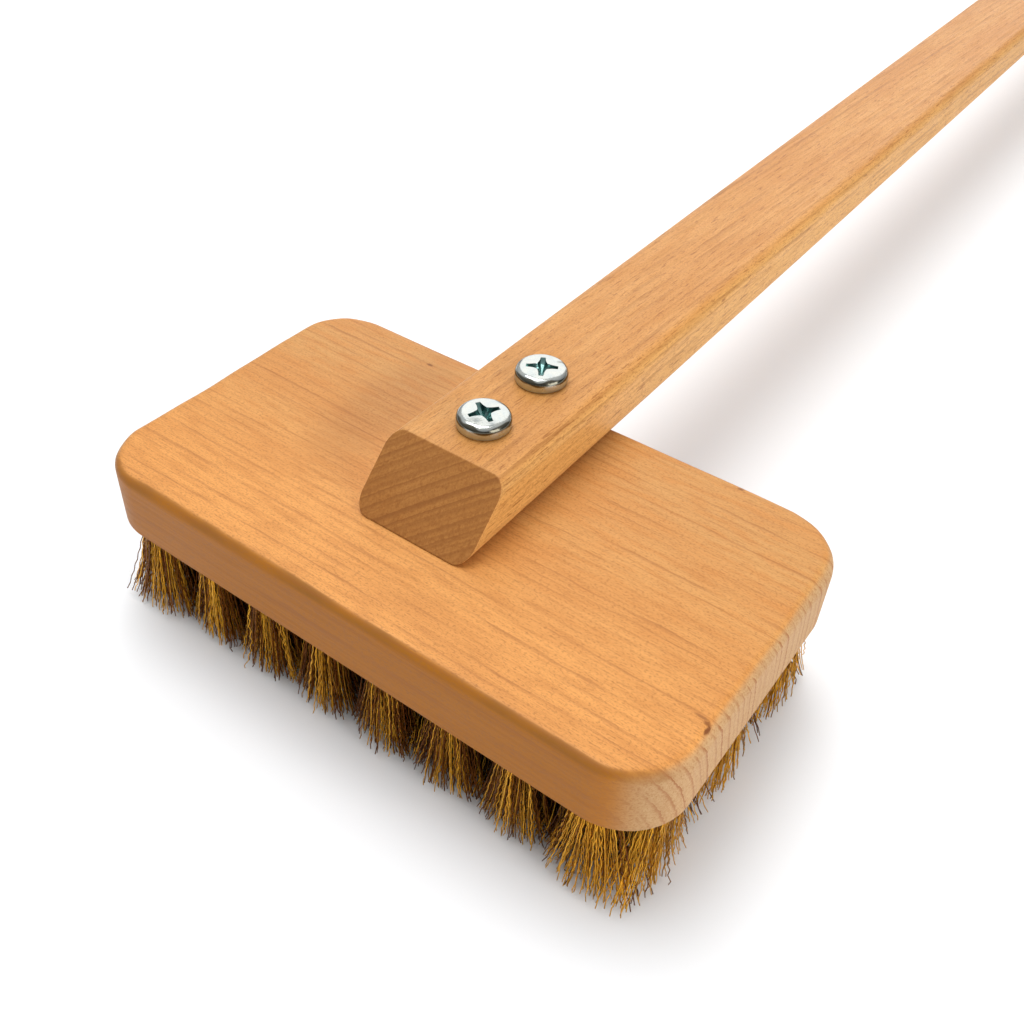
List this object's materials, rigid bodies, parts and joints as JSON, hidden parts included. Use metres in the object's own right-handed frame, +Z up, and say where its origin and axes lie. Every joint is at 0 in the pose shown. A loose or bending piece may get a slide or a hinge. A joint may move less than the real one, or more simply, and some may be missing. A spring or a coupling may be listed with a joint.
{
  "type": "pizza oven brush",
  "caption": "Long-handled oven brush: a wooden block with tufts of crimped brass wire, held under a flat wooden handle by pan-head screws.",
  "frame": {"origin": "on the ground under the middle of the whole brush, level with the bristle tips", "axes": "+Y along the handle, away from the head; +Z up, from the bristles to the handle; +X along the block's long side"},
  "size_m": [0.2, 1, 0.0806],
  "materials": {
    "block_beech": "oiled beech, grain along the block's length, satin",
    "handle_beech": "oiled beech, grain along the handle, satin",
    "zinc_steel": "bright zinc-plated steel",
    "brass_wire": "crimped hard-drawn brass wire"
  },
  "bodies": {
    "root": {"brush_block": "block_beech", "handle": "handle_beech", "screw_front": "zinc_steel", "screw_rear": "zinc_steel", "tuft_01": "brass_wire", "tuft_02": "brass_wire", "tuft_03": "brass_wire", "tuft_04": "brass_wire", "tuft_05": "brass_wire", "tuft_06": "brass_wire", "tuft_07": "brass_wire", "tuft_08": "brass_wire", "tuft_09": "brass_wire", "tuft_10": "brass_wire", "tuft_11": "brass_wire", "tuft_12": "brass_wire", "tuft_13": "brass_wire", "tuft_14": "brass_wire", "tuft_15": "brass_wire", "tuft_16": "brass_wire", "tuft_17": "brass_wire", "tuft_18": "brass_wire", "tuft_19": "brass_wire", "tuft_20": "brass_wire", "tuft_21": "brass_wire", "tuft_22": "brass_wire", "tuft_23": "brass_wire", "tuft_24": "brass_wire", "tuft_25": "brass_wire", "tuft_26": "brass_wire", "tuft_27": "brass_wire", "tuft_28": "brass_wire", "tuft_29": "brass_wire", "tuft_30": "brass_wire", "tuft_31": "brass_wire", "tuft_32": "brass_wire", "tuft_33": "brass_wire", "tuft_34": "brass_wire", "tuft_35": "brass_wire", "tuft_36": "brass_wire", "tuft_37": "brass_wire", "tuft_38": "brass_wire", "tuft_39": "brass_wire", "tuft_40": "brass_wire", "tuft_41": "brass_wire", "tuft_42": "brass_wire", "tuft_43": "brass_wire", "tuft_44": "brass_wire", "tuft_45": "brass_wire", "tuft_46": "brass_wire", "tuft_47": "brass_wire", "tuft_48": "brass_wire", "tuft_49": "brass_wire", "tuft_50": "brass_wire", "tuft_51": "brass_wire", "tuft_52": "brass_wire", "tuft_53": "brass_wire", "tuft_54": "brass_wire", "tuft_55": "brass_wire", "tuft_56": "brass_wire"}
  },
  "joints": []
}
